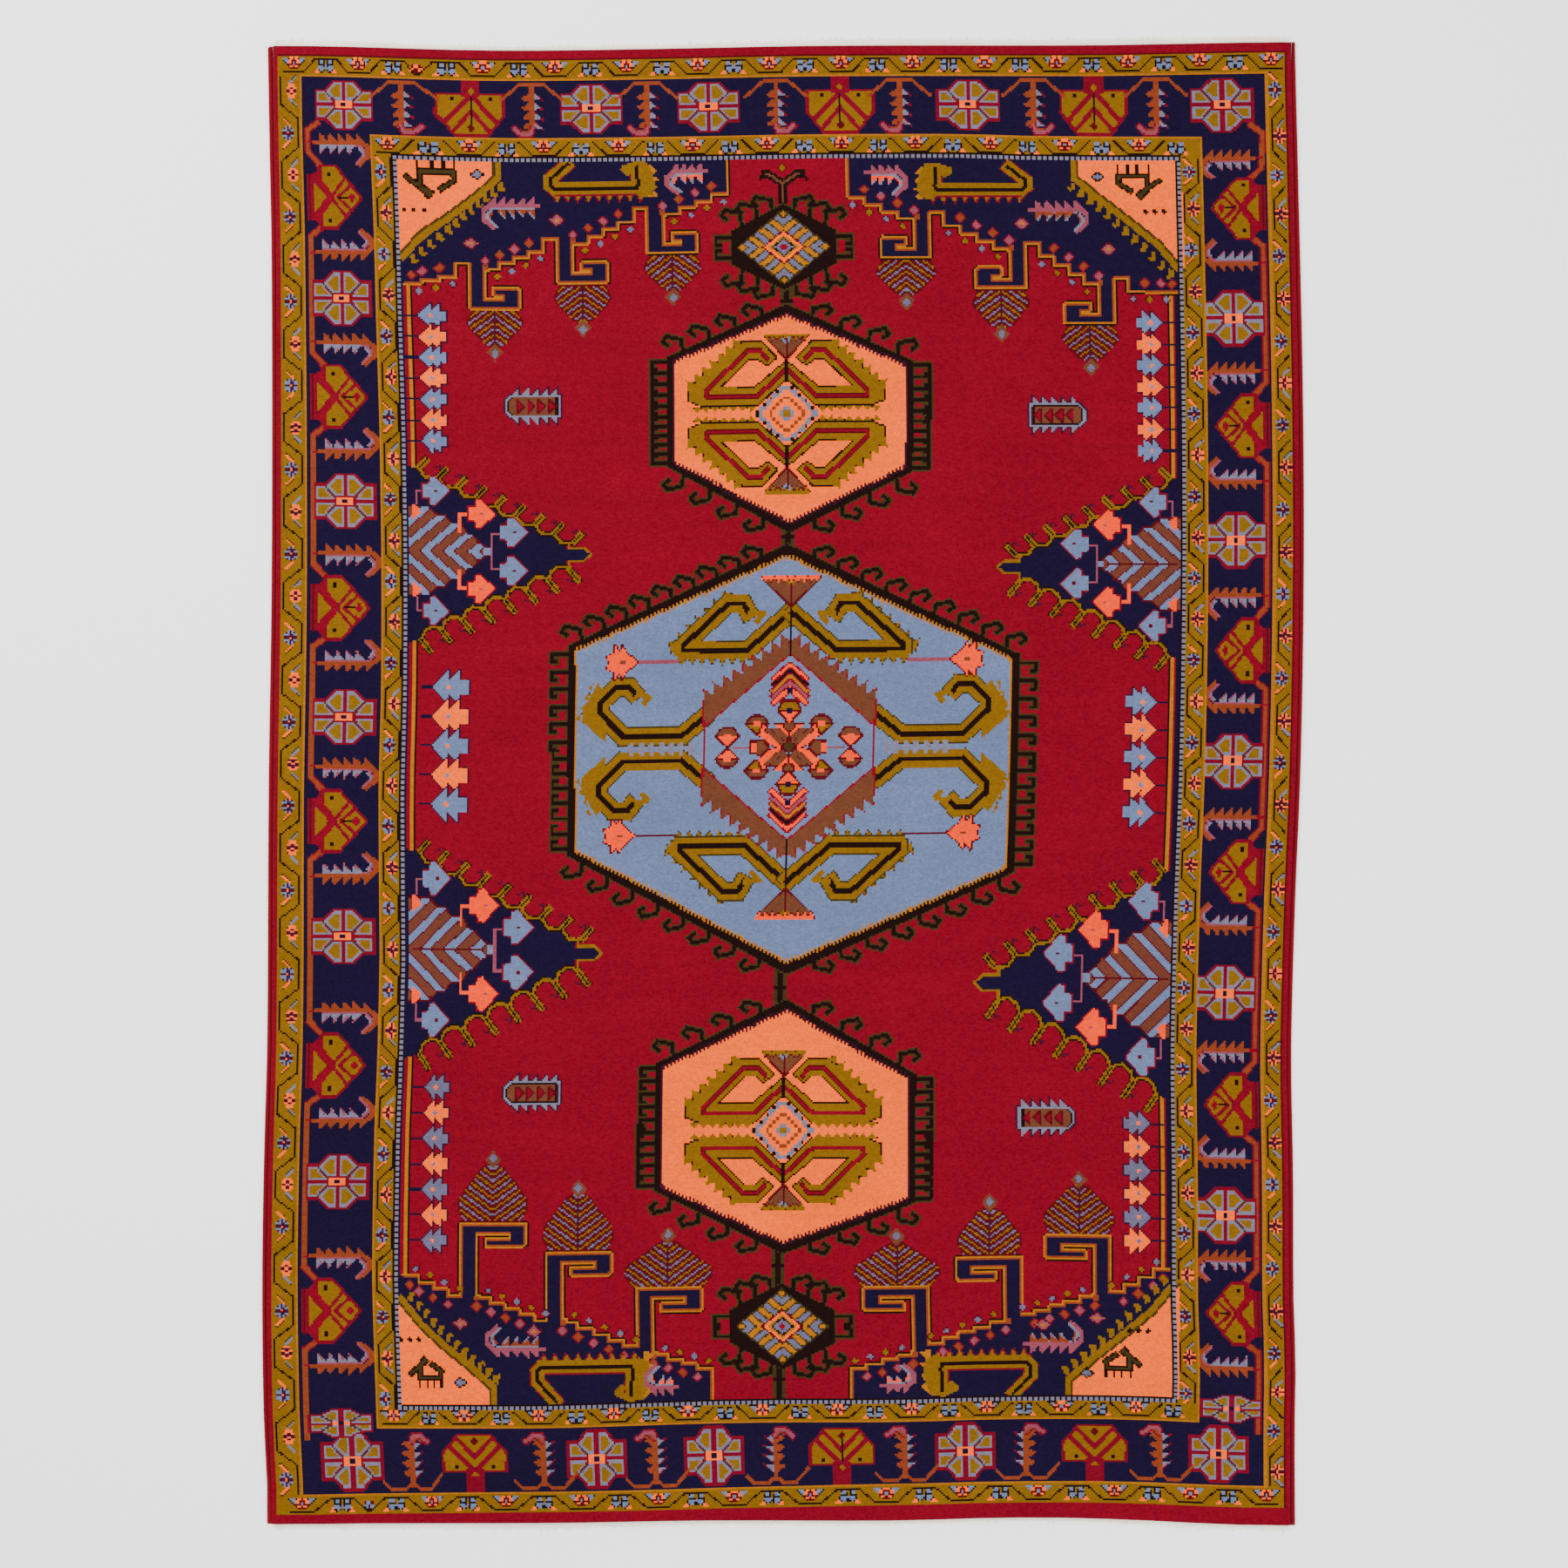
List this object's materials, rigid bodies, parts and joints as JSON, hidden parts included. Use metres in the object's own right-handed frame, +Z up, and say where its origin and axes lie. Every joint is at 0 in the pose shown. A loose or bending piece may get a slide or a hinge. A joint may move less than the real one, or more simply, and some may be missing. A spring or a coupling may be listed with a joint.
{
  "type": "knotted wool carpet",
  "caption": "Flat hand-knotted wool village carpet with geometric medallions, navy border, wrapped sides and worn cotton ends; lies on a floor.",
  "frame": {"origin": "middle of the footprint, on the surface that the carpet lies on", "axes": "+X across the width, +Y along the length, +Z up out of the pile"},
  "size_m": [2.1202, 3.0484, 0.011],
  "materials": {
    "wool_pile": "dyed wool pile, matt with a soft sheen",
    "side_wrap": "red wool yarn wrapped over side cords",
    "cotton_web": "undyed flat-woven cotton with cut warp ends"
  },
  "bodies": {
    "root": {"rug_body": "wool_pile", "selvedge_left": "side_wrap", "selvedge_right": "side_wrap", "end_web_far": "cotton_web", "end_web_near": "cotton_web"}
  },
  "joints": []
}
